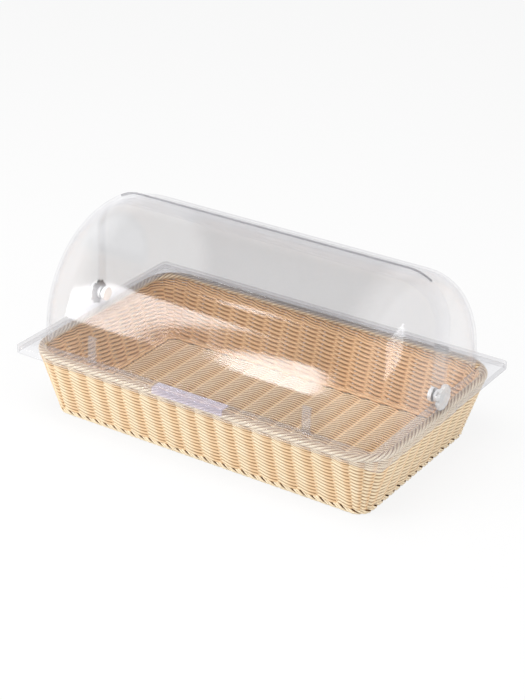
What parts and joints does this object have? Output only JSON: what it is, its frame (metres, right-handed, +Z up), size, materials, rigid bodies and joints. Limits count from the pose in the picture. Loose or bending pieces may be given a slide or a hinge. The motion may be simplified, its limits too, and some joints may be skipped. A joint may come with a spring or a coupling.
{
  "type": "countertop bread display bin",
  "caption": "Tapered woven basket under a clear roll-top cover: the front shell with a lift handle turns up on end pivots over the rear shell, which stands on a lipped frame.",
  "frame": {"origin": "on the counter, under the middle of the basket and under the pivot axis of the cover", "axes": "+X along the length, -Y towards the front with the lift handle, +Z up"},
  "size_m": [0.5324, 0.328, 0.2644],
  "materials": {
    "weave": "satin",
    "stake": "satin",
    "wire": "plain",
    "clear_frame": "clear",
    "clear_cover": "clear",
    "clear_knob": "clear",
    "handle": "clear"
  },
  "bodies": {
    "basket": {"woven_floor": "weave", "woven_wall": "weave", "top_border": "weave", "foot_border": "weave", "cross_stakes": "stake", "end_stakes": "stake", "corner_stakes": "stake", "rim_hoop": "wire", "foot_hoop": "wire"},
    "cover_frame": {"base_frame": "clear_frame", "front_guides": "clear_frame", "rear_cover": "clear_cover", "pivot_knob_left": "clear_knob", "pivot_knob_right": "clear_knob", "pivot_washer_left": "clear_knob", "pivot_washer_right": "clear_knob", "pivot_nut_left": "clear_knob", "pivot_nut_right": "clear_knob"},
    "front_shell": {"front_cover": "clear_cover", "lift_handle": "handle"}
  },
  "joints": [
    {"name": "cover_lift", "type": "slide", "parent": "basket", "child": "cover_frame", "axis": [0, 0, 1], "range_m": [0, 0.2]},
    {"name": "front_roll", "type": "hinge", "parent": "cover_frame", "child": "front_shell", "pos_m": [0, 0, 0.1145], "axis": [-1, 0, 0], "range_deg": [0, 90]}
  ]
}
